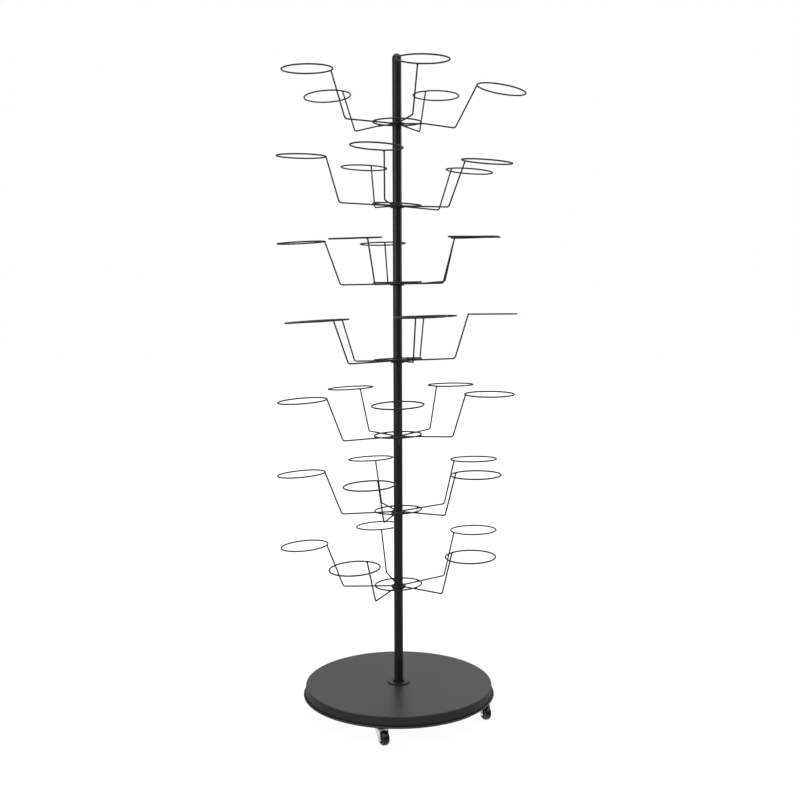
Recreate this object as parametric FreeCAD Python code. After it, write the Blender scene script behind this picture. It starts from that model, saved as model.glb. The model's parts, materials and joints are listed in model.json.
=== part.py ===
"""Floor-standing hat display stand: a pole on a round wheeled base carries seven
wire tiers that turn on it, each with five bent arms that end in a hat ring.

Millimetres and degrees. The origin is on the floor under the pole's axis, +Z is
up and -Y is the front. Tiers are numbered from the top one down.
"""
import FreeCAD, Part

import math
import os

# Clearances shared by the pieces
FIT = 0.1          # radial, round a pin, screw or tube that is a fit
SEAT = 0.2         # between two pieces that rest on or are welded to each other
LOOSE = 0.3        # radial, round a piece that turns or drops in by hand
SKIN_GAP = 1.0     # between moving sheet-metal edges

# Wheels and casters
CASTER_AZIMUTHS = [-102, -15, 78, 168]              # about a quarter turn apart
CASTER_TRAIL_AZIMUTHS = [-61, -64, -66, -68]        # which way each caster trails
CASTER_INSET = 22.0         # edge of the pan's top to the swivel axis
CASTER_TRAIL = 20.0         # swivel axis to wheel axle
WHEEL_D = 38.0
WHEEL_W = 19.0
WHEEL_SHOULDER_R = 7.0
WHEEL_LEAST_FLAT = 0.3      # left beside the shoulder on the rim and the tread
WHEEL_RIM_T = 7.5
WHEEL_HUB_D = 14.0
WHEEL_DISH = 3.5            # depth of the dished web on each side
AXLE_D = 6.0
AXLE_HEAD_D = 9.5
AXLE_HEAD_H = 1.8
AXLE_HEAD_R = 0.9
FORK_SHEET = 2.0
FORK_TOP_GAP = 3.0          # wheel tread to the fork's crown
FORK_EYE_R = 6.5            # rounded end of each cheek round the axle
FORK_HEAD_D = 29.0          # round crown over the swivel axis
FORK_NECK = 8.0             # how far the cheeks reach behind the swivel axis
BALL_D = 3.0
BALL_COUNT = 8
BALL_CIRCLE_D = 20.0
CUP_D = 31.0
CUP_SHEET = 1.2
STEM_D = 8.0
STEM_HEAD_D = 13.0
STEM_HEAD_H = 2.5
STEM_PROUD = 3.0            # thread that stands out of the nut
NUT_ACROSS_FLATS = 13.0
NUT_H = 6.5

# Base: a pressed steel pan over a dished plate, with a groove over its rolled rim
BASE_D = 504.0
BASE_H = 30.0
BASE_SHEET = 1.2
BASE_EDGE_R = 3.5
BASE_INSIDE_R_MIN = 0.3     # smallest radius inside the pan's pressed edge
BASE_FLARE = 1.5            # how far the wall leans out on its way down
BEAD_D = 5.0                # rim rolled over a stiffening wire
RIM_GROOVE_H = 2.2          # between the wall and the bead
RIM_NECK_INSET = 1.0        # the groove's bottom lies this far inside the pan's top edge
UNDERPLATE_T = 2.0
UNDERPLATE_LIP_H = 10.0
SPACER_D = 44.0
SPACER_WALL = 3.0

# Pole and what clamps it to the base
POLE_D = 24.0
POLE_WALL = 1.2
POLE_H = 1667.0             # top of the base to the top of the cap
CAP_SKIRT_H = 8.0
CAP_SPIGOT_H = 16.0
COUPLER_H = 100.0
COUPLER_WALL = 1.5
FLANGE_D = 62.0
FLANGE_T = 3.0
FLANGE_EDGE_R = 0.8
FLANGE_COLLAR_D = 31.0
FLANGE_COLLAR_H = 4.0
FOOT_PLUG_H = 30.0
BOLT_D = 12.0
BOLT_ENGAGEMENT = 24.0      # thread inside the foot plug
BOLT_ACROSS_FLATS = 18.0
BOLT_HEAD_H = 7.5
WASHER_D = 32.0
WASHER_T = 2.5

# Tiers
TIER_PITCH = 203.0
LOWEST_TIER_H = 268.0       # top of the base to the arms of the lowest tier
TIER_TURN = [66, 42, 32, 69, 54, 36, 31]            # azimuth of each tier's first arm
TIER_RISE = [4, -3, -2, -1, 0, 0, -1]               # how far each stands from its even place
TIER_LEAN = [1.5, 3.1, 0.9, 3.0, 2.0, 2.8, 2.6]     # each tier hangs a little out of level
TIER_DIP_AZIMUTH = [69, -7, 169, 136, 184, 154, 178]  # side on which it hangs lowest
TIER_COUNT = len(TIER_TURN)
TIERS = range(1, TIER_COUNT + 1)
SEAM_TIERS = (6, 4, 2)      # the pole is joined just under these tiers

# Wire work of one tier
WIRE_D = 4.0
ARM_COUNT = 5
ARM_REACH = 151.0           # pole axis to the bend at the foot of the riser
ARM_BEND_R = 8.0
RISER_H = 115.0
RISER_LEAN = 19.0           # outwards
HAT_RING_D = 127.0          # middle of the wire
HAT_RING_DROOP = 2.0        # outwards and down
HAT_RING_BEND_R = 5.0       # where the riser turns into the ring
HUB_RING_D = 36.0
BRACE_RING_D = 125.0
ARM_SAG_BEND_OUTSIDE = 10.0  # from the brace ring out to the bend of a sagging arm

# Arms that use has bent from their even place: (tier, arm) and degrees, sideways and down
ARM_DRIFT = {
    (1, 4): 3, (1, 5): 4,
    (3, 2): -4, (3, 3): -2,
    (4, 1): -3,
    (5, 2): -4, (5, 4): 2,
    (6, 1): -3, (6, 4): 4,
    (7, 1): 2, (7, 3): -3,
}
ARM_SAG = {(1, 2): 4, (1, 5): 8, (2, 4): -4, (3, 1): -3}

# Flanged bush in each hub ring, and the pin through the pole that it stands on
BUSH_FLANGE_D = 37.0
BUSH_FLANGE_T = 2.0
BUSH_PROUD = 1.0            # above the hub ring's wire
BUSH_CHAMFER = 0.4
STOP_PIN_D = 3.0
STOP_PIN_L = 32.0
STOP_PIN_AZIMUTH = 90.0
SEAM_BELOW_PIN = 8.0

# Heights that follow from the sizes above
WIRE_R = WIRE_D / 2
AXLE_Z = WHEEL_D / 2
CROWN_Z = WHEEL_D + FORK_TOP_GAP
CROWN_TOP_Z = CROWN_Z + FORK_SHEET
BALL_Z = CROWN_TOP_Z + SEAT + BALL_D / 2
CUP_Z = BALL_Z + BALL_D / 2 + SEAT
UNDERPLATE_Z = CUP_Z + CUP_SHEET
FLOOR_PAN_Z = UNDERPLATE_Z + UNDERPLATE_T
BASE_TOP_Z = UNDERPLATE_Z + BASE_H
BEAD_Z = UNDERPLATE_Z + BEAD_D / 2
DOME_Z = BASE_TOP_Z + POLE_H - POLE_D / 2
POLE_TOP_Z = DOME_Z - CAP_SKIRT_H
POLE_BORE_R = POLE_D / 2 - POLE_WALL

# Radii that follow from the sizes above
WALL_FOOT_R = BASE_D / 2 + BASE_FLARE
BEAD_R = WALL_FOOT_R + BEAD_D / 2
RIM_NECK_R = BASE_D / 2 - RIM_NECK_INSET
CASTER_CIRCLE_R = BASE_D / 2 - CASTER_INSET
CHEEK_Y = WHEEL_W / 2 + SKIN_GAP

UP = FreeCAD.Vector(0, 0, 1)
ORIGIN = FreeCAD.Vector(0, 0, 0)


def vec(x, y, z):
    return FreeCAD.Vector(x, y, z)


def polar(radius, azimuth, z=0.0):
    angle = math.radians(azimuth)
    return vec(radius * math.cos(angle), radius * math.sin(angle), z)


def turned(shape, azimuth, axis=UP, about=ORIGIN):
    copy = shape.copy()
    copy.rotate(about, axis, azimuth)
    return copy


def moved(shape, offset):
    copy = shape.copy()
    copy.translate(offset)
    return copy


def rod(diameter, z_low, z_high):
    return Part.makeCylinder(diameter / 2, z_high - z_low, vec(0, 0, z_low))


def tube(outer_d, inner_d, z_low, z_high):
    return rod(outer_d, z_low, z_high).cut(rod(inner_d, z_low - 1, z_high + 1))


def hexagon(across_flats, z_low, z_high):
    corner_r = across_flats / math.sqrt(3)
    points = [polar(corner_r, 60 * i, z_low) for i in range(7)]
    face = Part.Face(Part.makePolygon(points))
    return face.extrude(vec(0, 0, z_high - z_low))


def outline(edges):
    return Part.Face(Part.Wire(Part.__sortEdges__(edges)))


def line(a, b):
    return Part.LineSegment(a, b).toShape()


def arc(a, middle, b):
    return Part.Arc(a, middle, b).toShape()


def rim_at(shape, centre):
    """The round edges of a shape whose centre is the given point."""
    rounds = [edge for edge in shape.Edges if isinstance(edge.Curve, Part.Circle)]
    return [edge for edge in rounds if edge.Curve.Center.distanceToPoint(centre) < 1e-6]


def spun(face):
    return face.revolve(ORIGIN, UP, 360)


def save(name, solids):
    shape = solids[0] if len(solids) == 1 else Part.makeCompound(solids)
    shape.exportStep("parts/" + name + ".step")


# ---------------------------------------------------------------- wire work

def wire_run(start, end):
    along = end.sub(start)
    return Part.makeCylinder(WIRE_R, along.Length, start, along)


def wire_bend(start, tangent, centre, axis, angle):
    """A round wire swept from start round an axis through centre."""
    face = Part.Face(Part.Wire(Part.makeCircle(WIRE_R, start, tangent)))
    return face.revolve(centre, axis, angle)


def hat_arm(sag=0.0):
    """One wire: arm out along +X, riser up, then the hat ring, which ends at the riser.

    A sagging arm is bent down just outside the brace ring, or up if its sag is negative.
    """
    out = vec(1, 0, 0)
    up_riser = vec(math.sin(math.radians(RISER_LEAN)), 0, math.cos(math.radians(RISER_LEAN)))
    across = vec(0, -1, 0)

    # the foot of the riser turns the wire from out to up_riser
    foot = vec(ARM_REACH, 0, 0)
    foot_turn = 90 - RISER_LEAN
    setback = ARM_BEND_R * math.tan(math.radians(foot_turn / 2))
    arm_start = vec(HUB_RING_D / 2 + WIRE_R + SEAT, 0, 0)
    arm_end = foot - out * setback
    riser_start = foot + up_riser * setback
    foot_centre = arm_end + UP * ARM_BEND_R

    # the top of the riser turns the wire sideways, into the ring's tangent
    top = foot + up_riser * (RISER_H / up_riser.z)
    riser_end = top - up_riser * HAT_RING_BEND_R
    ring_start = top + across * HAT_RING_BEND_R
    top_centre = riser_end + across * HAT_RING_BEND_R

    # the ring goes round and stops where it meets the outside of that bend
    droop = math.radians(HAT_RING_DROOP)
    ring_out = vec(math.cos(droop), 0, -math.sin(droop))
    ring_axis = across.cross(ring_out)
    ring_r = HAT_RING_D / 2
    ring_centre = ring_start + ring_out * ring_r
    meeting = math.sqrt(4 * HAT_RING_BEND_R * WIRE_R)
    opening = math.degrees(math.asin((meeting + SEAT) / ring_r))

    # a sagging arm turns down round a small bend, and all that follows turns with it
    knee = vec(BRACE_RING_D / 2 + ARM_SAG_BEND_OUTSIDE, 0, 0)
    knee_axis = vec(0, math.copysign(1, sag), 0)
    knee_setback = out * (ARM_BEND_R * math.tan(math.radians(abs(sag) / 2)))
    bent = [
        wire_run(knee + knee_setback if sag else arm_start, arm_end),
        wire_bend(arm_end, out, foot_centre, vec(0, -1, 0), foot_turn),
        wire_run(riser_start, riser_end),
        wire_bend(riser_end, up_riser, top_centre, up_riser.cross(across), 90),
        wire_bend(ring_start, across, ring_centre, ring_axis, 360 - opening),
    ]
    pieces = [turned(piece, abs(sag), knee_axis, knee) for piece in bent]
    if sag:
        knee_start = knee - knee_setback
        knee_centre = knee_start - UP * math.copysign(ARM_BEND_R, sag)
        pieces.append(wire_run(arm_start, knee_start))
        pieces.append(wire_bend(knee_start, out, knee_centre, knee_axis, abs(sag)))
    return pieces[0].multiFuse(pieces[1:]).removeSplitter().Solids[0]


def tier_z(tier):
    return BASE_TOP_Z + LOWEST_TIER_H + TIER_PITCH * (TIER_COUNT - tier) + TIER_RISE[tier - 1]


def placed_on_tier(shape, tier):
    """Turned about the pole, tilted towards the side that hangs lowest, then raised."""
    turned_shape = turned(shape, TIER_TURN[tier - 1])
    tilt_axis = polar(1, TIER_DIP_AZIMUTH[tier - 1] + 90)
    tilted = turned(turned_shape, TIER_LEAN[tier - 1], tilt_axis)
    return moved(tilted, vec(0, 0, tier_z(tier)))


def make_tiers():
    hub_ring = Part.makeTorus(HUB_RING_D / 2, WIRE_R)
    brace_ring = Part.makeTorus(BRACE_RING_D / 2, WIRE_R, vec(0, 0, WIRE_D + SEAT))
    for tier in TIERS:
        name = "tier_%d" % tier
        arms = []
        for number in range(1, ARM_COUNT + 1):
            arm = hat_arm(ARM_SAG.get((tier, number), 0))
            azimuth = 360 / ARM_COUNT * (number - 1) + ARM_DRIFT.get((tier, number), 0)
            arms.append(placed_on_tier(turned(arm, azimuth), tier))
        save(name + "_arms", arms)
        save(name + "_hub_ring", [placed_on_tier(hub_ring, tier)])
        save(name + "_brace_ring", [placed_on_tier(brace_ring, tier)])


# ---------------------------------------------------------------- bushes and stop pins

def bush_seat_z(tier):
    """The hub ring rests here on its low side."""
    hub_outer_r = HUB_RING_D / 2 + WIRE_R
    dip = hub_outer_r * math.sin(math.radians(TIER_LEAN[tier - 1]))
    return tier_z(tier) - WIRE_R - dip - SEAT


def stop_pin_z(tier):
    return bush_seat_z(tier) - BUSH_FLANGE_T - SEAT - STOP_PIN_D / 2


def cross_pin(diameter, length, z):
    pin = Part.makeCylinder(diameter / 2, length, vec(-length / 2, 0, z), vec(1, 0, 0))
    return turned(pin, STOP_PIN_AZIMUTH)


def pin_holes():
    """Drilled right through the pole, and through the couplers that lie there."""
    return [cross_pin(STOP_PIN_D + 2 * FIT, 2 * STOP_PIN_L, stop_pin_z(tier)) for tier in TIERS]


def bush(tier):
    """A flanged sleeve on the pole that carries the hub ring and keeps it centred."""
    seat = bush_seat_z(tier)
    top = tier_z(tier) + WIRE_R + BUSH_PROUD
    sleeve_d = HUB_RING_D - WIRE_D - 2 * LOOSE
    flange = rod(BUSH_FLANGE_D, seat - BUSH_FLANGE_T, seat)
    flange = flange.makeChamfer(BUSH_CHAMFER, rim_at(flange, vec(0, 0, seat - BUSH_FLANGE_T)))
    sleeve = rod(sleeve_d, seat, top)
    sleeve = sleeve.makeChamfer(BUSH_CHAMFER, rim_at(sleeve, vec(0, 0, top)))
    bore = rod(POLE_D + 2 * FIT, seat - BUSH_FLANGE_T - 1, top + 1)
    return flange.fuse(sleeve).cut(bore).removeSplitter()


def make_bushes():
    for tier in TIERS:
        save("tier_%d_bush" % tier, [bush(tier)])
    save("tier_stop_pins", [cross_pin(STOP_PIN_D, STOP_PIN_L, stop_pin_z(tier)) for tier in TIERS])


# ---------------------------------------------------------------- pole

def make_pole():
    holes = pin_holes()
    seams = [stop_pin_z(tier) - SEAM_BELOW_PIN for tier in SEAM_TIERS]
    lows = [BASE_TOP_Z] + [z + SEAT / 2 for z in seams]
    highs = [z - SEAT / 2 for z in seams] + [POLE_TOP_Z - SEAT]
    for number, (low, high) in enumerate(zip(lows, highs), 1):
        save("pole_section_%d" % number, [tube(POLE_D, 2 * POLE_BORE_R, low, high).cut(holes)])

    coupler_d = 2 * (POLE_BORE_R - FIT)
    couplers = []
    for z in seams:
        low = z - COUPLER_H / 2
        coupler = tube(coupler_d, coupler_d - 2 * COUPLER_WALL, low, low + COUPLER_H)
        couplers.append(coupler.cut(holes))
    save("pole_couplers", couplers)

    dome = Part.makeSphere(POLE_D / 2, vec(0, 0, DOME_Z), UP, 0, 90, 360)
    skirt = rod(POLE_D, POLE_TOP_Z, DOME_Z)
    spigot = rod(coupler_d, POLE_TOP_Z - CAP_SPIGOT_H, POLE_TOP_Z)
    cap = dome.multiFuse([skirt, spigot])
    cavity = rod(coupler_d - 2 * COUPLER_WALL, POLE_TOP_Z - CAP_SPIGOT_H - 1, POLE_TOP_Z)
    save("pole_cap", [cap.cut(cavity).removeSplitter()])


def make_pole_foot():
    """The flange round the pole's foot, and the bolt that pulls the pole down on the base."""
    plate_top = BASE_TOP_Z + FLANGE_T
    collar_top = plate_top + FLANGE_COLLAR_H
    flange = rod(FLANGE_D, BASE_TOP_Z, plate_top)
    flange = flange.makeFillet(FLANGE_EDGE_R, rim_at(flange, vec(0, 0, plate_top)))
    flange = flange.fuse(rod(FLANGE_COLLAR_D, BASE_TOP_Z, collar_top))
    bore = rod(POLE_D + 2 * FIT, BASE_TOP_Z - 1, collar_top + 1)
    save("pole_flange", [flange.cut(bore).removeSplitter()])

    plug_d = 2 * (POLE_BORE_R - FIT)
    plug_z = BASE_TOP_Z + SEAT
    save("pole_foot_plug", [tube(plug_d, BOLT_D + 2 * FIT, plug_z, plug_z + FOOT_PLUG_H)])

    washer_z = UNDERPLATE_Z - WASHER_T
    save("pole_bolt_washer", [tube(WASHER_D, BOLT_D + 2 * LOOSE, washer_z, UNDERPLATE_Z)])
    head = hexagon(BOLT_ACROSS_FLATS, washer_z - BOLT_HEAD_H, washer_z)
    shank = rod(BOLT_D, washer_z, plug_z + BOLT_ENGAGEMENT)
    save("pole_bolt", [head.fuse(shank).removeSplitter()])


# ---------------------------------------------------------------- base

def base_cover():
    """A round pan, open below: rounded edge, wall, then a necked groove and a rolled rim."""
    bolt_r = BOLT_D / 2 + LOOSE
    edge = BASE_EDGE_R
    top_r = BASE_D / 2
    diagonal = math.sqrt(0.5)
    wall_foot_z = BEAD_Z + BEAD_D / 2 + RIM_GROOVE_H
    neck_in_r = RIM_NECK_R - BASE_SHEET
    roll_top = BEAD_Z + BASE_SHEET / 2
    roll_low = BEAD_Z - BASE_SHEET / 2
    knee_out = vec(top_r - edge, 0, BASE_TOP_Z - edge)
    inner_edge = max(edge - BASE_SHEET, BASE_INSIDE_R_MIN)
    knee_in = vec(top_r - BASE_SHEET - inner_edge, 0, BASE_TOP_Z - BASE_SHEET - inner_edge)
    top_edge = knee_out + vec(0, 0, edge)
    wall_top = knee_out + vec(edge, 0, 0)
    wall_top_in = knee_in + vec(inner_edge, 0, 0)
    top_edge_in = knee_in + vec(0, 0, inner_edge)
    downwards = [
        wall_top,
        vec(WALL_FOOT_R, 0, wall_foot_z),
        vec(RIM_NECK_R, 0, wall_foot_z),
        vec(RIM_NECK_R, 0, roll_top),
        vec(BEAD_R, 0, roll_top),
        vec(BEAD_R, 0, roll_low),
        vec(neck_in_r, 0, roll_low),
        vec(neck_in_r, 0, wall_foot_z + BASE_SHEET),
        vec(WALL_FOOT_R - BASE_SHEET, 0, wall_foot_z + BASE_SHEET),
        wall_top_in,
    ]
    hole_low = vec(bolt_r, 0, BASE_TOP_Z - BASE_SHEET)
    hole_top = vec(bolt_r, 0, BASE_TOP_Z)
    across_top = [top_edge_in, hole_low, hole_top, top_edge]
    edges = [line(a, b) for a, b in zip(downwards, downwards[1:])]
    edges += [line(a, b) for a, b in zip(across_top, across_top[1:])]
    edges.append(arc(top_edge, knee_out + vec(edge, 0, edge) * diagonal, wall_top))
    edges.append(arc(wall_top_in, knee_in + vec(inner_edge, 0, inner_edge) * diagonal, top_edge_in))
    bead = Part.makeTorus(BEAD_R, BEAD_D / 2, vec(0, 0, BEAD_Z))
    return spun(outline(edges)).fuse(bead).removeSplitter()


def base_underplate():
    """A dished plate that closes the pan, is welded in its neck and carries the casters."""
    lip_top = UNDERPLATE_Z + UNDERPLATE_LIP_H
    outer_r = RIM_NECK_R - BASE_SHEET - SEAT
    plate = rod(2 * outer_r, UNDERPLATE_Z, lip_top)
    plate = plate.cut(rod(2 * (outer_r - UNDERPLATE_T), FLOOR_PAN_Z, lip_top + 1))
    plate = plate.cut(rod(BOLT_D + 2 * LOOSE, UNDERPLATE_Z - 1, FLOOR_PAN_Z + 1))
    for place in caster_places():
        plate = plate.cut(moved(rod(STEM_D + 2 * LOOSE, UNDERPLATE_Z - 1, FLOOR_PAN_Z + 1), place))
    return plate


def make_base():
    save("base_cover", [base_cover()])
    save("base_underplate", [base_underplate()])
    spacer_z = BASE_TOP_Z - BASE_SHEET
    save("base_spacer", [tube(SPACER_D, SPACER_D - 2 * SPACER_WALL, FLOOR_PAN_Z, spacer_z)])


# ---------------------------------------------------------------- casters

def caster_places():
    return [polar(CASTER_CIRCLE_R, azimuth) for azimuth in CASTER_AZIMUTHS]


def caster_wheel():
    """Rounded tread and a dished web; the hub stands out to run beside the fork's cheeks."""
    half = WHEEL_W / 2
    tread_r = WHEEL_D / 2
    bore_r = AXLE_D / 2 + FIT
    hub_r = WHEEL_HUB_D / 2
    rim_in = tread_r - WHEEL_RIM_T
    hub_face = half + SKIN_GAP - LOOSE
    round_r = min(WHEEL_SHOULDER_R, half - WHEEL_LEAST_FLAT, WHEEL_RIM_T - WHEEL_LEAST_FLAT)
    knee = round_r * (1 - math.sqrt(0.5))
    half_points = [
        (bore_r, hub_face), (hub_r, hub_face), (hub_r, half - WHEEL_DISH), (rim_in, half - WHEEL_DISH),
        (rim_in, half), (tread_r - round_r, half),
    ]

    def at(radius, y):
        return vec(radius, y, 0)

    right = [at(r, y) for r, y in half_points]
    left = [at(r, -y) for r, y in half_points]
    edges = [line(right[i], right[i + 1]) for i in range(len(right) - 1)]
    edges += [line(left[i], left[i + 1]) for i in range(len(left) - 1)]
    edges.append(line(left[0], right[0]))
    edges.append(arc(right[-1], at(tread_r - knee, half - knee), at(tread_r, half - round_r)))
    edges.append(arc(left[-1], at(tread_r - knee, knee - half), at(tread_r, round_r - half)))
    edges.append(line(at(tread_r, half - round_r), at(tread_r, round_r - half)))
    wheel = outline(edges).revolve(ORIGIN, vec(0, 1, 0), 360)
    return moved(wheel, vec(CASTER_TRAIL, 0, AXLE_Z))


def cheek():
    """A flat side of the fork: wide at the crown, rounded round the axle."""
    axle = vec(CASTER_TRAIL, 0, AXLE_Z)
    crown_back = vec(-FORK_NECK, 0, CROWN_TOP_Z)
    crown_front = vec(CASTER_TRAIL, 0, CROWN_TOP_Z)

    def tangent_point(corner, side):
        reach = corner.sub(axle)
        spread = math.degrees(math.acos(FORK_EYE_R / reach.Length))
        direction = math.degrees(math.atan2(reach.z, reach.x)) + side * spread
        angle = math.radians(direction)
        return axle + vec(math.cos(angle), 0, math.sin(angle)) * FORK_EYE_R

    back = tangent_point(crown_back, 1)
    front = tangent_point(crown_front, -1)
    bottom = axle - vec(0, 0, FORK_EYE_R)
    face = outline([
        line(crown_back, crown_front),
        line(crown_front, front),
        arc(front, bottom, back),
        line(back, crown_back),
    ])
    return moved(face.extrude(vec(0, FORK_SHEET, 0)), vec(0, CHEEK_Y, 0))


def caster_fork():
    """A stamped crown with two cheeks, bored for the swivel stem and the axle."""
    width = 2 * (CHEEK_Y + FORK_SHEET)
    right = cheek()
    left = right.mirror(ORIGIN, vec(0, 1, 0))
    crown = rod(FORK_HEAD_D, CROWN_Z, CROWN_TOP_Z)
    bridge = Part.makeBox(FORK_NECK + CASTER_TRAIL, width, FORK_SHEET, vec(-FORK_NECK, -width / 2, CROWN_Z))
    fork = crown.multiFuse([bridge, left, right]).removeSplitter()
    fork = fork.cut(rod(STEM_D + 2 * FIT, CROWN_Z - 1, CROWN_TOP_Z + 1))
    hole_start = vec(CASTER_TRAIL, -width, AXLE_Z)
    return fork.cut(Part.makeCylinder(AXLE_D / 2 + FIT, 2 * width, hole_start, vec(0, 1, 0)))


def caster_axle():
    """A rivet: a shank between two round heads outside the cheeks."""
    face_y = CHEEK_Y + FORK_SHEET + SEAT
    along = vec(0, 1, 0)
    shank = Part.makeCylinder(AXLE_D / 2, 2 * face_y, vec(CASTER_TRAIL, -face_y, AXLE_Z), along)
    head = Part.makeCylinder(AXLE_HEAD_D / 2, AXLE_HEAD_H, vec(CASTER_TRAIL, face_y, AXLE_Z), along)
    head = head.makeFillet(AXLE_HEAD_R, rim_at(head, vec(CASTER_TRAIL, face_y + AXLE_HEAD_H, AXLE_Z)))
    return shank.multiFuse([head, head.mirror(ORIGIN, along)]).removeSplitter()


def caster_stem():
    """A threaded stem whose riveted foot holds the fork up against its balls."""
    head_top = CROWN_Z - SEAT
    head = rod(STEM_HEAD_D, head_top - STEM_HEAD_H, head_top)
    shank = rod(STEM_D, head_top, FLOOR_PAN_Z + NUT_H + STEM_PROUD)
    return head.fuse(shank).removeSplitter()


def caster_cup():
    """The fixed half of the swivel race: a shallow dish over the balls."""
    dish = rod(CUP_D, CROWN_TOP_Z + SKIN_GAP, UNDERPLATE_Z)
    dish = dish.cut(rod(CUP_D - 2 * CUP_SHEET, CROWN_TOP_Z, CUP_Z))
    return dish.cut(rod(STEM_D + 2 * FIT, CUP_Z - 1, UNDERPLATE_Z + 1))


def make_casters():
    places = caster_places()
    moving = {"fork": caster_fork(), "axle": caster_axle(), "wheel": caster_wheel()}
    for number, (place, trail) in enumerate(zip(places, CASTER_TRAIL_AZIMUTHS), 1):
        for name, shape in moving.items():
            save("caster_%d_%s" % (number, name), [moved(turned(shape, trail), place)])

    stem = caster_stem()
    cup = caster_cup()
    nut = hexagon(NUT_ACROSS_FLATS, FLOOR_PAN_Z, FLOOR_PAN_Z + NUT_H)
    nut = nut.cut(rod(STEM_D + 2 * FIT, FLOOR_PAN_Z - 1, FLOOR_PAN_Z + NUT_H + 1))
    ball = Part.makeSphere(BALL_D / 2)
    ring = [moved(ball, polar(BALL_CIRCLE_D / 2, 360 / BALL_COUNT * i, BALL_Z)) for i in range(BALL_COUNT)]
    save("caster_stems", [moved(stem, place) for place in places])
    save("caster_cups", [moved(cup, place) for place in places])
    save("caster_nuts", [moved(nut, place) for place in places])
    save("caster_balls", [moved(one, place) for place in places for one in ring])


os.makedirs("parts", exist_ok=True)
make_base()
make_pole_foot()
make_pole()
make_bushes()
make_tiers()
make_casters()
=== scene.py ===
"""Looks of the rotating hat stand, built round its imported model. Metres, in the model's own frame."""

import json
import math

import bmesh
import bpy
import numpy as np
from mathutils import Matrix, Quaternion, Vector


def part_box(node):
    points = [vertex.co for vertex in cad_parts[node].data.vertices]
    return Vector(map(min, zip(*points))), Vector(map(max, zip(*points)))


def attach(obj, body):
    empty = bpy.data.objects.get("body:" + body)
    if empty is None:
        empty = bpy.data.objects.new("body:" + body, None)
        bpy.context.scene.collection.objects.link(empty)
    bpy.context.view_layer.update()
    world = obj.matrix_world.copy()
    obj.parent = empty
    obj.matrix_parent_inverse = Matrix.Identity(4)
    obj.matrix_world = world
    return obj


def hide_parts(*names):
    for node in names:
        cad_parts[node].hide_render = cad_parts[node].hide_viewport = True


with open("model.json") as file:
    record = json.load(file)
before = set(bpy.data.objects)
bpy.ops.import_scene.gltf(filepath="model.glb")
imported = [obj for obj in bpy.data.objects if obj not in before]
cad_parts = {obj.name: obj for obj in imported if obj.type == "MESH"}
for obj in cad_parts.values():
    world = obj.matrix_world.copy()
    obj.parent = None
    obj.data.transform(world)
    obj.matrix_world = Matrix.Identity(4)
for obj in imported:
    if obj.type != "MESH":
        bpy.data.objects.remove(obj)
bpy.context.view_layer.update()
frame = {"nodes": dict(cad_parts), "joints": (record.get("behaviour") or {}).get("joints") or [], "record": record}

MM = 0.001
UP = Vector((0, 0, 1))
TIERS = 7
CASTERS = 4

# Sizes that the pressed, moulded and welded pieces share with the model, in millimetres
WIRE_R = 2.0
WELD_GAP = 0.2
HUB_RING_R = 18.0
BRACE_RING_R = 62.5
HAT_RING_R = 63.5
RISER_TOP_BEND_R = 5.0
WHEEL_R = 19.0
WHEEL_HALF_W = 9.5
WHEEL_SHOULDER_R = 7.0
WHEEL_RIM_INNER_R = 11.5
WHEEL_WEB_HALF_W = 6.0
WHEEL_HUB_R = 7.0
WHEEL_HUB_HALF_W = 10.2
AXLE_HOLE_R = 3.1
FORK_SHEET = 2.0
FORK_HALF_W = 12.5
FORK_BEND_R = 2.6           # middle of the sheet
FORK_EYE_R = 6.5
FORK_NECK = 8.0
FORK_HEAD_R = 14.5
FORK_LIP = 4.0              # the crown's front edge, turned down over the wheel
STEM_HOLE_R = 4.1
TRAIL = 20.0

# Weld beads, in millimetres: outward, sideways and upward half sizes
ARM_BEAD = (2.1, 3.3, 2.6)
BRACE_BEAD = (2.5, 2.5, 1.4)
RING_BEAD = (2.5, 2.9, 2.6)
RING_BEAD_ALONG = 5.6       # from the riser's middle towards the ring's start
RING_BEAD_DROP = 0.7

# The camera, in metres and degrees
CAMERA_AWAY = 3.0019
CAMERA_OVER_BASE = 1.1002
CAMERA_LENS_MM = 51.217
CAMERA_SENSOR_MM = 36.0
CAMERA_DOWN = 6.25
CAMERA_YAW = -0.0019        # radians
CAMERA_ROLL = -0.18

# The softboxes: azimuth, distance, height, size, power. Azimuth 0 is the camera's side, 90 the right
SOFTBOXES = {
    "left": (-56, 3.2, 1.6, (2.6, 2.0), 25),
    "right": (108, 3.2, 1.6, (1.6, 2.0), 14),
}


# ---------------------------------------------------------------- small helpers

def linear(hex_colour):
    """An sRGB hex colour as linear RGBA."""
    channels = [int(hex_colour[i:i + 2], 16) / 255 for i in (1, 3, 5)]
    return [*(c / 12.92 if c <= 0.04045 else ((c + 0.055) / 1.055) ** 2.4 for c in channels), 1.0]


def add(tree, kind, settings=(), inputs=()):
    """One node with its settings; each input is given a value or linked from a socket."""
    node = tree.nodes.new(kind)
    for name, value in dict(settings).items():
        setattr(node, name, value)
    for name, value in dict(inputs).items():
        if isinstance(value, bpy.types.NodeSocket):
            tree.links.new(value, node.inputs[name])
        else:
            node.inputs[name].default_value = value
    return node


def new_material(name):
    material = bpy.data.materials.new(name)
    material.use_nodes = True
    material.node_tree.nodes.clear()
    return material, material.node_tree


def new_piece(name, mesh):
    piece = bpy.data.objects.new(name, mesh)
    bpy.context.scene.collection.objects.link(piece)
    return piece


def evaluated_mesh(piece):
    """The piece's mesh with its modifiers worked in, as a plain mesh."""
    graph = bpy.context.evaluated_depsgraph_get()
    return bpy.data.meshes.new_from_object(piece.evaluated_get(graph), depsgraph=graph)


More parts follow.
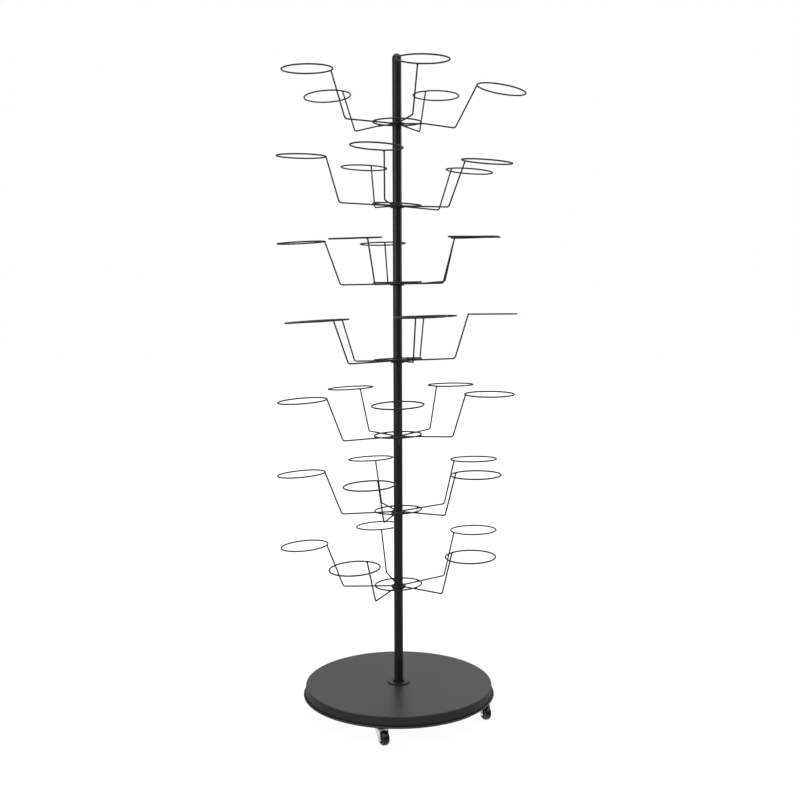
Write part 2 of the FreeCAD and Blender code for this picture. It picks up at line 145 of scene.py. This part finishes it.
def finished(piece):
    """Swaps the piece's mesh for the evaluated one and drops the modifiers."""
    mesh = evaluated_mesh(piece)
    piece.modifiers.clear()
    piece.data = mesh
    return piece


def outward(mesh):
    """Merges doubles and points every face outwards."""
    work = bmesh.new()
    work.from_mesh(mesh)
    bmesh.ops.remove_doubles(work, verts=work.verts, dist=1e-6)
    bmesh.ops.recalc_face_normals(work, faces=work.faces)
    work.to_mesh(mesh)
    work.free()


def shade(mesh, sharp_degrees):
    mesh.shade_smooth()
    mesh.set_sharp_from_angle(angle=math.radians(sharp_degrees))


def copied(piece, name, placing):
    """A copy of a finished piece with the placing worked into its mesh."""
    mesh = piece.data.copy()
    mesh.transform(placing)
    return new_piece(name, mesh)


# ---------------------------------------------------------------- finishes

def powder_coat(name, dark, light, roughness, peel_mm, peel_depth_mm):
    """Polyester powder, sprayed and baked: an orange-peel skin under a soft, slightly cloudy gloss."""
    material, tree = new_material(name)
    place = add(tree, "ShaderNodeTexCoord").outputs["Object"]
    # film thickness drifts over a hand's breadth, which clouds the tone and the gloss
    cloud = add(tree, "ShaderNodeTexNoise", inputs={
        "Vector": place, "Scale": 1 / 0.09, "Detail": 4.0, "Roughness": 0.55}).outputs[0]
    # flakes of pigment, drawn at 1.1 mm because the real 0.05 mm would not show
    flake = add(tree, "ShaderNodeTexVoronoi", inputs={
        "Vector": place, "Scale": 1 / 0.0011, "Randomness": 1.0}).outputs["Color"]
    flake_tone = add(tree, "ShaderNodeSeparateColor", inputs={"Color": flake}).outputs[0]
    tone = add(tree, "ShaderNodeMath", {"operation": "MULTIPLY_ADD"}, {
        0: flake_tone, 1: 0.35, 2: add(tree, "ShaderNodeMapRange", inputs={
            "Value": cloud, "From Min": 0.3, "From Max": 0.7, "To Min": 0.0, "To Max": 0.65}).outputs[0]})
    colour = add(tree, "ShaderNodeMix", {"data_type": "RGBA"}, {
        0: tone.outputs[0], 6: linear(dark), 7: linear(light)}).outputs[2]
    gloss = add(tree, "ShaderNodeMapRange", inputs={
        "Value": cloud, "From Min": 0.3, "From Max": 0.7,
        "To Min": roughness - 0.04, "To Max": roughness + 0.05}).outputs[0]
    peel = add(tree, "ShaderNodeTexNoise", inputs={
        "Vector": place, "Scale": 1000 / peel_mm, "Detail": 2.5, "Roughness": 0.5}).outputs[0]
    bump = add(tree, "ShaderNodeBump", inputs={
        "Strength": 1.0, "Distance": peel_depth_mm * MM, "Height": peel}).outputs[0]
    shader = add(tree, "ShaderNodeBsdfPrincipled", inputs={
        "Base Color": colour, "Roughness": gloss, "Normal": bump, "IOR": 1.5})
    add(tree, "ShaderNodeOutputMaterial", inputs={"Surface": shader.outputs[0]})
    return material


def moulded_plastic(name, dark, light, roughness, scratch_depth_mm, dust):
    """Injection-moulded plastic: flow lines in the gloss, handling scratches and a little dust."""
    material, tree = new_material(name)
    place = add(tree, "ShaderNodeTexCoord").outputs["Object"]
    flow = add(tree, "ShaderNodeTexNoise", inputs={
        "Vector": place, "Scale": 1 / 0.012, "Detail": 3.0, "Distortion": 1.2}).outputs[0]
    # scuffs 0.2 mm wide, drawn at 0.6 mm so that they show, long in one direction
    stretched = add(tree, "ShaderNodeMapping", inputs={
        "Vector": place, "Scale": (1.0, 0.35, 0.12), "Rotation": (0.3, 0.5, 0.2)}).outputs[0]
    scuff = add(tree, "ShaderNodeTexNoise", inputs={
        "Vector": stretched, "Scale": 1 / 0.0006, "Detail": 2.0}).outputs[0]
    scuffed = add(tree, "ShaderNodeMapRange", inputs={
        "Value": scuff, "From Min": 0.58, "From Max": 0.75, "To Min": 0.0, "To Max": 1.0}).outputs[0]
    speck = add(tree, "ShaderNodeTexNoise", inputs={
        "Vector": place, "Scale": 1 / 0.0022, "Detail": 5.0, "Roughness": 0.7}).outputs[0]
    dusty = add(tree, "ShaderNodeMapRange", inputs={
        "Value": speck, "From Min": 0.55, "From Max": 0.8, "To Min": 0.0, "To Max": dust}).outputs[0]
    colour = add(tree, "ShaderNodeMix", {"data_type": "RGBA"}, {
        0: dusty, 6: linear(dark), 7: linear(light)}).outputs[2]
    worn = add(tree, "ShaderNodeMath", {"operation": "MULTIPLY_ADD"}, {
        0: scuffed, 1: 0.12, 2: add(tree, "ShaderNodeMapRange", inputs={
            "Value": flow, "To Min": roughness - 0.03, "To Max": roughness + 0.06}).outputs[0]})
    bump = add(tree, "ShaderNodeBump", {"invert": True}, {
        "Strength": 1.0, "Distance": scratch_depth_mm * MM, "Height": scuffed}).outputs[0]
    shader = add(tree, "ShaderNodeBsdfPrincipled", inputs={
        "Base Color": colour, "Roughness": worn.outputs[0], "Normal": bump, "IOR": 1.49})
    add(tree, "ShaderNodeOutputMaterial", inputs={"Surface": shader.outputs[0]})
    return material


def plated_steel(name, dark, light, roughness, grain_mm, stretch):
    """Bare or plated steel: crystals of plating or drawing lines vary its tone and gloss."""
    material, tree = new_material(name)
    place = add(tree, "ShaderNodeTexCoord").outputs["Object"]
    drawn = add(tree, "ShaderNodeMapping", inputs={"Vector": place, "Scale": stretch}).outputs[0]
    grain = add(tree, "ShaderNodeTexVoronoi", inputs={
        "Vector": drawn, "Scale": 1000 / grain_mm, "Randomness": 1.0}).outputs["Color"]
    crystal = add(tree, "ShaderNodeSeparateColor", inputs={"Color": grain}).outputs[0]
    tarnish = add(tree, "ShaderNodeTexNoise", inputs={
        "Vector": place, "Scale": 1 / 0.008, "Detail": 4.0}).outputs[0]
    tone = add(tree, "ShaderNodeMath", {"operation": "MULTIPLY_ADD"}, {
        0: crystal, 1: 0.4, 2: add(tree, "ShaderNodeMapRange", inputs={
            "Value": tarnish, "From Min": 0.3, "From Max": 0.7, "To Min": 0.0, "To Max": 0.6}).outputs[0]})
    colour = add(tree, "ShaderNodeMix", {"data_type": "RGBA"}, {
        0: tone.outputs[0], 6: linear(dark), 7: linear(light)}).outputs[2]
    gloss = add(tree, "ShaderNodeMapRange", inputs={
        "Value": crystal, "To Min": roughness - 0.05, "To Max": roughness + 0.07}).outputs[0]
    bump = add(tree, "ShaderNodeBump", inputs={
        "Strength": 0.6, "Distance": 0.01 * MM, "Height": crystal}).outputs[0]
    shader = add(tree, "ShaderNodeBsdfPrincipled", inputs={
        "Base Color": colour, "Roughness": gloss, "Normal": bump, "Metallic": 1.0})
    add(tree, "ShaderNodeOutputMaterial", inputs={"Surface": shader.outputs[0]})
    return material


# Fine-texture charcoal powder on the pressed base: matt, it catches the light only at a low angle
BASE_COAT = powder_coat("charcoal_fine_texture_powder_coat", "#262628", "#303032", 0.34, 1.5, 0.04)
# Semi-gloss black powder on the tube: long soft reflections, broken by orange peel
TUBE_COAT = powder_coat("black_semi_gloss_powder_coat", "#151516", "#1e1e1f", 0.31, 3.0, 0.03)
# Satin black powder on the wire: a touch warmer and drier than the tube
WIRE_COAT = powder_coat("black_satin_powder_coat_on_wire", "#0e0e0d", "#171715", 0.42, 2.2, 0.03)
# Moulded nylon bush: dull, faintly grey
BUSH_NYLON = moulded_plastic("moulded_black_nylon", "#141415", "#2a2a2a", 0.45, 0.02, 0.25)
# Moulded polyethylene cap: polished mould, so small sharp lights
CAP_PLASTIC = moulded_plastic("moulded_glossy_black_polyethylene", "#1c1c1d", "#303030", 0.2, 0.01, 0.1)
# Moulded polypropylene wheel: glossy black, its tread scuffed and dusty
WHEEL_PLASTIC = moulded_plastic("moulded_glossy_black_polypropylene", "#09090a", "#2c2c2a", 0.16, 0.02, 0.25)
# Bright zinc plate on the casters: pale and cool, a little clouded, fine crystals drawn at 0.7 mm
ZINC_PLATE = plated_steel("bright_zinc_plate", "#ccd0cd", "#e0e4e1", 0.32, 0.7, (1.0, 1.0, 1.0))
# Plain drawn steel on balls, plugs and couplers: greyer, lines along the drawing
DRAWN_STEEL = plated_steel("plain_drawn_steel", "#85878a", "#a9abae", 0.3, 0.7, (1.0, 1.0, 0.1))
# Black oxide on the pins: nearly black, a dull metal sheen
BLACK_OXIDE = plated_steel("black_oxide_on_steel", "#222326", "#33353a", 0.38, 0.8, (1.0, 1.0, 1.0))

FINISHES = {
    "base_powder_coat": BASE_COAT,
    "pole_powder_coat": TUBE_COAT,
    "wire_powder_coat": WIRE_COAT,
    "bush_plastic": BUSH_NYLON,
    "cap_plastic": CAP_PLASTIC,
    "wheel_plastic": WHEEL_PLASTIC,
    "zinc_plate": ZINC_PLATE,
    "bare_steel": DRAWN_STEEL,
    "black_oxide": BLACK_OXIDE,
}
for part in frame["record"]["subparts"]:
    for material_slot in frame["nodes"][part["node"]].material_slots:
        material_slot.material = FINISHES[part["material_slot"]]


# ---------------------------------------------------------------- geometry trees

def new_tree(name, sizes):
    """A geometry tree with named inputs, given as name: (socket type, value)."""
    tree = bpy.data.node_groups.new(name, "GeometryNodeTree")
    tree.interface.new_socket(name="Geometry", in_out="INPUT", socket_type="NodeSocketGeometry")
    for label, (kind, value) in sizes.items():
        socket = tree.interface.new_socket(name=label, in_out="INPUT", socket_type=kind)
        socket.default_value = value
    tree.interface.new_socket(name="Geometry", in_out="OUTPUT", socket_type="NodeSocketGeometry")
    return tree


def grown(name, seed_mesh, tree, values=()):
    """A piece whose plain mesh a geometry tree grows from the seed mesh."""
    piece = new_piece(name, seed_mesh)
    modifier = piece.modifiers.new("grow", "NODES")
    modifier.node_group = tree
    sockets = {item.name: item.identifier for item in tree.interface.items_tree
               if item.item_type == "SOCKET" and item.in_out == "INPUT"}
    for label, value in dict(values).items():
        modifier[sockets[label]] = value
    return finished(piece)


def weld_bead_tree():
    """A bead on each point of the seed, with the point's own size and turn, and a rippled skin."""
    tree = new_tree("weld_beads", {
        "Ripple": ("NodeSocketFloat", 0.25 * MM),
        "Ripple Width": ("NodeSocketFloat", 1.6 * MM),
        "Seed": ("NodeSocketFloat", 3.0),
    })
    given = add(tree, "NodeGroupInput")
    bead = add(tree, "GeometryNodeMeshIcoSphere", inputs={"Radius": 1.0, "Subdivisions": 3})
    size = add(tree, "GeometryNodeInputNamedAttribute", {"data_type": "FLOAT_VECTOR"}, {"Name": "bead_size"})
    turn = add(tree, "GeometryNodeInputNamedAttribute", {"data_type": "FLOAT_VECTOR"}, {"Name": "bead_turn"})
    rotation = add(tree, "FunctionNodeEulerToRotation", inputs={"Euler": turn.outputs[0]})
    beads = add(tree, "GeometryNodeInstanceOnPoints", inputs={
        "Points": given.outputs["Geometry"], "Instance": bead.outputs["Mesh"],
        "Rotation": rotation.outputs[0], "Scale": size.outputs[0]})
    solid = add(tree, "GeometryNodeRealizeInstances", inputs={"Geometry": beads.outputs[0]})
    position = add(tree, "GeometryNodeInputPosition")
    fineness = add(tree, "ShaderNodeMath", {"operation": "DIVIDE"}, {
        0: 1.0, 1: given.outputs["Ripple Width"]})
    noise = add(tree, "ShaderNodeTexNoise", {"noise_dimensions": "4D"}, {
        "Vector": position.outputs[0], "W": given.outputs["Seed"], "Scale": fineness.outputs[0]})
    lift = add(tree, "ShaderNodeMath", {"operation": "MULTIPLY"}, {
        0: add(tree, "ShaderNodeMath", {"operation": "SUBTRACT"}, {0: noise.outputs[0], 1: 0.5}).outputs[0],
        1: given.outputs["Ripple"]})
    offset = add(tree, "ShaderNodeVectorMath", {"operation": "SCALE"}, {
        0: add(tree, "GeometryNodeInputNormal").outputs[0], "Scale": lift.outputs[0]})
    rippled = add(tree, "GeometryNodeSetPosition", inputs={
        "Geometry": solid.outputs[0], "Offset": offset.outputs[0]})
    smooth = add(tree, "GeometryNodeSetShadeSmooth", inputs={"Geometry": rippled.outputs[0]})
    coated = add(tree, "GeometryNodeSetMaterial", inputs={
        "Geometry": smooth.outputs[0], "Material": WIRE_COAT})
    add(tree, "NodeGroupOutput", inputs={"Geometry": coated.outputs[0]})
    return tree


def wheel_rib_tree():
    """Stiffening ribs in both dished sides of a wheel blank whose axis is Z."""
    tree = new_tree("wheel_ribs", {
        "Ribs": ("NodeSocketInt", 6),
        "Rib Thickness": ("NodeSocketFloat", 1.3 * MM),
        "Rib Length": ("NodeSocketFloat", (WHEEL_RIM_INNER_R - WHEEL_HUB_R + 0.8) * MM),
        "Rib Height": ("NodeSocketFloat", 3.0 * MM),
        "Rib Radius": ("NodeSocketFloat", (WHEEL_RIM_INNER_R + WHEEL_HUB_R) / 2 * MM),
        "Web": ("NodeSocketFloat", WHEEL_WEB_HALF_W * MM),
    })
    given = add(tree, "NodeGroupInput")
    circle = add(tree, "GeometryNodeMeshCircle", inputs={
        "Vertices": given.outputs["Ribs"], "Radius": given.outputs["Rib Radius"]})
    size = add(tree, "ShaderNodeCombineXYZ", inputs={
        "X": given.outputs["Rib Length"], "Y": given.outputs["Rib Thickness"],
        "Z": given.outputs["Rib Height"]})
    rib = add(tree, "GeometryNodeMeshCube", inputs={"Size": size.outputs[0]})
    step = add(tree, "ShaderNodeMath", {"operation": "DIVIDE"}, {0: 2 * math.pi, 1: given.outputs["Ribs"]})
    angle = add(tree, "ShaderNodeMath", {"operation": "MULTIPLY"}, {
        0: add(tree, "GeometryNodeInputIndex").outputs[0], 1: step.outputs[0]})
    euler = add(tree, "ShaderNodeCombineXYZ", inputs={"Z": angle.outputs[0]})
    rotation = add(tree, "FunctionNodeEulerToRotation", inputs={"Euler": euler.outputs[0]})
    ribs = add(tree, "GeometryNodeInstanceOnPoints", inputs={
        "Points": circle.outputs[0], "Instance": rib.outputs["Mesh"], "Rotation": rotation.outputs[0]})
    join = add(tree, "GeometryNodeJoinGeometry", inputs={"Geometry": given.outputs["Geometry"]})
    for side in (1.0, -1.0):
        height = add(tree, "ShaderNodeMath", {"operation": "MULTIPLY"}, {0: given.outputs["Web"], 1: side})
        lift = add(tree, "ShaderNodeCombineXYZ", inputs={"Z": height.outputs[0]})
        raised = add(tree, "GeometryNodeTransform", inputs={
            "Geometry": ribs.outputs[0], "Translation": lift.outputs[0]})
        tree.links.new(raised.outputs[0], join.inputs["Geometry"])
    solid = add(tree, "GeometryNodeRealizeInstances", inputs={"Geometry": join.outputs[0]})
    coated = add(tree, "GeometryNodeSetMaterial", inputs={
        "Geometry": solid.outputs[0], "Material": WHEEL_PLASTIC})
    add(tree, "NodeGroupOutput", inputs={"Geometry": coated.outputs[0]})
    return tree


# ---------------------------------------------------------------- welds of the tiers

def ring_plane(node):
    """Centre and upward normal of a ring node."""
    low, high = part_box(node)
    co = np.array([v.co for v in frame["nodes"][node].data.vertices])
    spread = np.linalg.eigh(np.cov((co - co.mean(0)).T))
    normal = Vector(spread[1][:, 0])
    return (low + high) / 2, normal if normal.z > 0 else -normal


def weld_seed(name, beads):
    """Points for the bead tree, each with its size and its turn."""
    mesh = bpy.data.meshes.new(name)
    mesh.from_pydata([place for place, turn, size in beads], [], [])
    sizes = mesh.attributes.new("bead_size", "FLOAT_VECTOR", "POINT")
    turns = mesh.attributes.new("bead_turn", "FLOAT_VECTOR", "POINT")
    for index, (place, turn, size) in enumerate(beads):
        sizes.data[index].vector = size
        turns.data[index].vector = turn
    return mesh


def tier_beads(tier, mounts):
    """Where one tier is welded: arms to hub ring, brace ring to arms, ring ends to risers."""
    hub, up = ring_plane("tier_%d_hub_ring" % tier)
    beads = []
    for mount in mounts:
        ring_centre = Vector(mount["pos_m"])
        ring_up = Vector(mount["axis"])
        reach = ring_centre - hub
        flat = reach - up * reach.dot(up)
        offset = math.asin(RISER_TOP_BEND_R * MM / flat.length)
        out = Quaternion(up, offset) @ flat.normalized()
        side = up.cross(out)
        turn = Matrix((out, side, up)).transposed().to_euler()
        ring_out = (out - ring_up * out.dot(ring_up)).normalized()
        ring_turn = Matrix((ring_out, ring_up.cross(ring_out), ring_up)).transposed().to_euler()
        ring_start = ring_centre - ring_out * HAT_RING_R * MM
        arm_start = HUB_RING_R + WIRE_R
        crossing = (2 * WIRE_R + WELD_GAP) / 2
        beads += [
            (hub + out * arm_start * MM, turn, Vector(ARM_BEAD) * MM),
            (hub + out * BRACE_RING_R * MM + up * crossing * MM, turn, Vector(BRACE_BEAD) * MM),
            (ring_start + side * RING_BEAD_ALONG * MM - ring_up * RING_BEAD_DROP * MM, ring_turn,
             Vector(RING_BEAD) * MM),
        ]
    return beads


def make_welds():
    tree = weld_bead_tree()
    mounts = frame["record"]["mounts"]
    for tier in range(1, TIERS + 1):
        own = [m for m in mounts if m["name"].startswith("tier_%d_hat_ring" % tier)]
        name = "tier_%d_welds" % tier
        welds = grown(name, weld_seed(name, tier_beads(tier, own)), tree, {"Seed": float(tier)})
        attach(welds, "tier_%d" % tier)


# ---------------------------------------------------------------- casters

def wheel_profile():
    """Half section of the wheel blank, from the bore to the middle of the tread, as (radius, height)."""
    shoulder = []
    for i in range(9):
        angle = math.radians(90 - 90 * i / 8)
        shoulder.append((WHEEL_R - WHEEL_SHOULDER_R * (1 - math.cos(angle)),
                         WHEEL_HALF_W - WHEEL_SHOULDER_R * (1 - math.sin(angle))))
    return [
        (AXLE_HOLE_R, WHEEL_HUB_HALF_W), (WHEEL_HUB_R - 0.6, WHEEL_HUB_HALF_W),
        (WHEEL_HUB_R, WHEEL_HUB_HALF_W - 0.6), (WHEEL_HUB_R + 0.1, WHEEL_WEB_HALF_W + 0.7),
        (WHEEL_HUB_R + 0.8, WHEEL_WEB_HALF_W), (WHEEL_RIM_INNER_R - 0.8, WHEEL_WEB_HALF_W),
        (WHEEL_RIM_INNER_R - 0.1, WHEEL_WEB_HALF_W + 0.7), (WHEEL_RIM_INNER_R, WHEEL_HALF_W - 0.3),
        (WHEEL_RIM_INNER_R + 0.3, WHEEL_HALF_W), *shoulder,
        # the mould's parting line, a fine groove round the tread
        (WHEEL_R, 0.5), (WHEEL_R - 0.25, 0.15),
    ]


def lathe(name, section, steps):
    """A closed section, as (radius, height) in millimetres, spun round Z."""
    mesh = bpy.data.meshes.new(name)
    points = []
    for i in range(steps):
        angle = 2 * math.pi * i / steps
        points += [(r * math.cos(angle) * MM, r * math.sin(angle) * MM, z * MM) for r, z in section]
    count = len(section)
    faces = []
    for i in range(steps):
        following = (i + 1) % steps
        for k in range(count):
            after = (k + 1) % count
            faces.append((i * count + k, following * count + k, following * count + after, i * count + after))
    mesh.from_pydata(points, [], faces)
    outward(mesh)
    return mesh


def fork_edge(axle_z, crown_top):
    """The cheek's back and front edges as functions of height, like two tangents and a round end."""
    def tangent(corner_x, side):
        dx, dz = corner_x - TRAIL, crown_top - axle_z
        spread = math.acos(FORK_EYE_R / math.hypot(dx, dz))
        angle = math.atan2(dz, dx) + side * spread
        return TRAIL + FORK_EYE_R * math.cos(angle), axle_z + FORK_EYE_R * math.sin(angle)

    def edge(corner_x, side):
        touch_x, touch_z = tangent(corner_x, side)

        def at(z):
            if z >= touch_z:
                return touch_x + (corner_x - touch_x) * (z - touch_z) / (crown_top - touch_z)
            rise = min(abs(z - axle_z), FORK_EYE_R)
            return TRAIL - side * math.sqrt(FORK_EYE_R ** 2 - rise ** 2)
        return at

    return edge(-FORK_NECK, 1), edge(TRAIL, -1)


def rounded_bar(name, xs, half_y, zs, round_mm):
    """A bar across the fork with its long edges rounded, in millimetres."""
    work = bmesh.new()
    bmesh.ops.create_cube(work, size=1.0)
    size = Vector((xs[1] - xs[0], 2 * half_y, zs[1] - zs[0])) * MM
    middle = Vector((sum(xs) / 2, 0, sum(zs) / 2)) * MM
    for vertex in work.verts:
        vertex.co = Vector([c * s for c, s in zip(vertex.co, size)]) + middle
    bmesh.ops.bevel(work, geom=work.edges[:], offset=round_mm * MM, segments=4, affect="EDGES", profile=0.5)
    mesh = bpy.data.meshes.new(name)
    work.to_mesh(mesh)
    work.free()
    return mesh


def fork_pressing(axle_z, crown_top):
    """The fork as one folded sheet: cheek, bend, crown, bend, cheek, with a round head over the swivel."""
    back, front = fork_edge(axle_z, crown_top)
    half = FORK_SHEET / 2
    side_y = FORK_HALF_W - half
    top_z = crown_top - half
    low = axle_z - FORK_EYE_R * math.cos(math.radians(14))
    rows = []
    for i in range(13):
        angle = math.radians(14 + 92 * i / 12)
        rows.append((side_y, axle_z - FORK_EYE_R * math.cos(angle)))
    knee = top_z - FORK_BEND_R
    rows += [(side_y, rows[-1][1] + (knee - rows[-1][1]) * i / 8) for i in range(1, 9)]
    for i in range(1, 9):
        angle = math.radians(90 * i / 8)
        rows.append((side_y - FORK_BEND_R * (1 - math.cos(angle)), knee + FORK_BEND_R * math.sin(angle)))
    rows += [(side_y - FORK_BEND_R - (side_y - FORK_BEND_R) * i / 4, top_z) for i in range(1, 5)]
    rows += [(-y, z) for y, z in reversed(rows[:-1])]
    columns = 12
    points = []
    for y, z in rows:
        reach = max(min(z + half, crown_top), low)
        start, end = back(reach), front(reach)
        points += [((start + (end - start) * i / columns) * MM, y * MM, z * MM) for i in range(columns + 1)]
    wide = columns + 1
    faces = [(r * wide + c, r * wide + c + 1, (r + 1) * wide + c + 1, (r + 1) * wide + c)
             for r in range(len(rows) - 1) for c in range(columns)]
    mesh = bpy.data.meshes.new("fork_pressing")
    mesh.from_pydata(points, [], faces)
    piece = new_piece("fork_blank", mesh)
    wall = piece.modifiers.new("wall", "SOLIDIFY")
    wall.thickness = FORK_SHEET * MM
    wall.offset = 0.0
    edge = piece.modifiers.new("edge", "BEVEL")
    edge.width = 0.45 * MM
    edge.segments = 3
    edge.limit_method = "ANGLE"
    edge.angle_limit = math.radians(50)
    finished(piece)
    outward(piece.data)
    head_top = crown_top + 0.05
    head_low = crown_top - FORK_SHEET - 0.05
    rim = FORK_HEAD_R
    head = lathe("fork_head", [
        (STEM_HOLE_R, head_low), (rim - 0.5, head_low), (rim, head_low + 0.5), (rim, head_top - 0.7),
        (rim - 0.2, head_top - 0.2), (rim - 0.7, head_top), (STEM_HOLE_R + 0.3, head_top),
        (STEM_HOLE_R, head_top - 0.3)], 64)
    lip = rounded_bar("fork_lip", (TRAIL - 0.8, TRAIL + 1.2), side_y - FORK_BEND_R,
                      (crown_top - FORK_LIP, crown_top - 0.4), 0.5)
    work = bmesh.new()
    work.from_mesh(piece.data)
    work.from_mesh(head)
    work.from_mesh(lip)
    work.to_mesh(piece.data)
    work.free()
    piece.data.materials.clear()
    piece.data.materials.append(ZINC_PLATE)
    shade(piece.data, 35)
    return piece


def make_casters():
    joints = {joint["name"]: joint for joint in frame["joints"]}
    axle_z = joints["caster_1_roll"]["pos_m"][2] / MM
    crown_top = joints["caster_1_turn"]["pos_m"][2] / MM
    fork = fork_pressing(axle_z, crown_top)
    section = wheel_profile()
    section += [(r, -z) for r, z in reversed(section)]
    wheel = grown("wheel_blank", lathe("wheel_blank", section, 96), wheel_rib_tree())
    shade(wheel.data, 35)
    for number in range(1, CASTERS + 1):
        swivel = Vector(joints["caster_%d_turn" % number]["pos_m"])
        roll = joints["caster_%d_roll" % number]
        axis = Vector(roll["axis"])
        trail = axis.cross(UP)
        pose = Matrix((trail, axis, UP)).transposed().to_4x4()
        place = Matrix.Translation((swivel.x, swivel.y, 0)) @ pose
        name = "caster_%d_fork_pressing" % number
        fork_piece = copied(fork, name, place)
        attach(fork_piece, "caster_%d_swivel" % number)
        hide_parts("caster_%d_fork" % number)
        lie_down = Matrix.Rotation(math.radians(-90), 4, "X")
        spin = Matrix.Rotation(math.radians(17 * number), 4, "Z")
        centre = Matrix.Translation(roll["pos_m"])
        wheel_piece = copied(wheel, "caster_%d_wheel_moulding" % number, centre @ pose @ lie_down @ spin)
        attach(wheel_piece, "caster_%d_roller" % number)
        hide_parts("caster_%d_wheel" % number)
    for blank in (fork, wheel):
        bpy.data.objects.remove(blank)


make_welds()
make_casters()


# ---------------------------------------------------------------- floor, light and camera

def studio_floor():
    """An opal acrylic light table: white, a soft shadow near the stand, pure white further out."""
    material, tree = new_material("backlit_opal_acrylic")
    place = add(tree, "ShaderNodeTexCoord").outputs["Object"]
    mottle = add(tree, "ShaderNodeTexNoise", inputs={"Vector": place, "Scale": 2.0, "Detail": 3.0}).outputs[0]
    colour = add(tree, "ShaderNodeMix", {"data_type": "RGBA"}, {
        0: mottle, 6: linear("#929291"), 7: linear("#9a9a9a")}).outputs[2]
    surface = add(tree, "ShaderNodeBsdfDiffuse", inputs={"Color": colour})
    glow = add(tree, "ShaderNodeEmission", inputs={"Color": linear("#ffffff"), "Strength": 1.25})
    away = add(tree, "ShaderNodeVectorMath", {"operation": "LENGTH"}, {0: place}).outputs["Value"]
    share = add(tree, "ShaderNodeMapRange", inputs={
        "Value": away, "From Min": 0.35, "From Max": 1.3, "To Min": 0.77, "To Max": 1.0}).outputs[0]
    # the stand is lit by the sheet only from under its base, where the glow shows in the casters' zinc
    beneath = add(tree, "ShaderNodeMapRange", inputs={
        "Value": away, "From Min": 0.24, "From Max": 0.32, "To Min": 0.8, "To Max": 0.0}).outputs[0]
    seen = add(tree, "ShaderNodeLightPath").outputs["Is Camera Ray"]
    glow_share = add(tree, "ShaderNodeMix", {"data_type": "FLOAT"}, {
        0: seen, 2: beneath, 3: share}).outputs[0]
    both = add(tree, "ShaderNodeMixShader", inputs={0: glow_share, 1: surface.outputs[0], 2: glow.outputs[0]})
    add(tree, "ShaderNodeOutputMaterial", inputs={"Surface": both.outputs[0]})
    mesh = bpy.data.meshes.new("floor")
    half = 12.0
    corners = [(-half, -half, 0), (half, -half, 0), (half, half, 0), (-half, half, 0)]
    mesh.from_pydata(corners, [], [(0, 1, 2, 3)])
    mesh.materials.append(material)
    floor = new_piece("floor", mesh)


def softbox(name, azimuth, distance, height, size, power):
    """A soft light beside the stand, facing its pole."""
    angle = math.radians(azimuth)
    place = Vector((distance * math.sin(angle), -distance * math.cos(angle), height))
    data = bpy.data.lights.new(name, "AREA")
    data.shape = "RECTANGLE"
    data.size, data.size_y = size
    data.energy = power
    lamp = bpy.data.objects.new(name, data)
    lamp.location = place
    lamp.rotation_euler = Vector((-place.x, -place.y, 0)).to_track_quat("-Z", "Y").to_euler()
    lamp.visible_camera = False
    bpy.context.scene.collection.objects.link(lamp)


def studio_world():
    """A bright ceiling, dim walls and a lighter back wall light the stand; the camera sees plain white."""
    world = bpy.data.worlds.new("studio")
    world.use_nodes = True
    tree = world.node_tree
    tree.nodes.clear()
    direction = add(tree, "ShaderNodeTexCoord").outputs["Generated"]
    way = add(tree, "ShaderNodeSeparateXYZ", inputs={"Vector": direction}).outputs
    ceiling = add(tree, "ShaderNodeMapRange", {"interpolation_type": "SMOOTHSTEP"}, {
        "Value": way["Z"], "From Min": 0.36, "From Max": 0.78, "To Min": 0.15, "To Max": 1.4}).outputs[0]
    back_wall = add(tree, "ShaderNodeMapRange", {"interpolation_type": "SMOOTHSTEP"}, {
        "Value": way["Y"], "From Min": 0.3, "From Max": 0.9, "To Min": 0.0, "To Max": 0.32}).outputs[0]
    # the back wall is lit from its right-hand end
    falloff = add(tree, "ShaderNodeMapRange", inputs={
        "Value": way["X"], "From Min": -0.4, "From Max": 0.4, "To Min": 0.55, "To Max": 1.45}).outputs[0]
    strength = add(tree, "ShaderNodeMath", {"operation": "MULTIPLY_ADD"}, {
        0: back_wall, 1: falloff, 2: ceiling}).outputs[0]
    room = add(tree, "ShaderNodeBackground", inputs={"Color": linear("#ffffff"), "Strength": strength})
    backdrop = add(tree, "ShaderNodeBackground", inputs={"Color": linear("#ffffff"), "Strength": 1.0})
    seen = add(tree, "ShaderNodeLightPath").outputs["Is Camera Ray"]
    both = add(tree, "ShaderNodeMixShader", inputs={0: seen, 1: room.outputs[0], 2: backdrop.outputs[0]})
    add(tree, "ShaderNodeOutputWorld", inputs={"Surface": both.outputs[0]})
    bpy.context.scene.world = world


def studio_camera():
    """In front of the pole, above its middle, looking slightly down."""
    base_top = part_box("base_cover")[1].z
    data = bpy.data.cameras.new("camera")
    data.sensor_width = CAMERA_SENSOR_MM
    data.lens = CAMERA_LENS_MM
    camera = bpy.data.objects.new("camera", data)
    camera.location = (0.0, -CAMERA_AWAY, base_top + CAMERA_OVER_BASE)
    pitch = Matrix.Rotation(math.radians(90 - CAMERA_DOWN), 3, "X")
    yaw = Matrix.Rotation(CAMERA_YAW, 3, "Z")
    roll = Matrix.Rotation(math.radians(CAMERA_ROLL), 3, "Z")
    camera.rotation_euler = (yaw @ pitch @ roll).to_euler()
    bpy.context.scene.collection.objects.link(camera)
    bpy.context.scene.camera = camera


studio_floor()
studio_world()
for lamp_name, lamp_values in SOFTBOXES.items():
    softbox(lamp_name, *lamp_values)
studio_camera()
bpy.context.scene.view_settings.view_transform = "Standard"
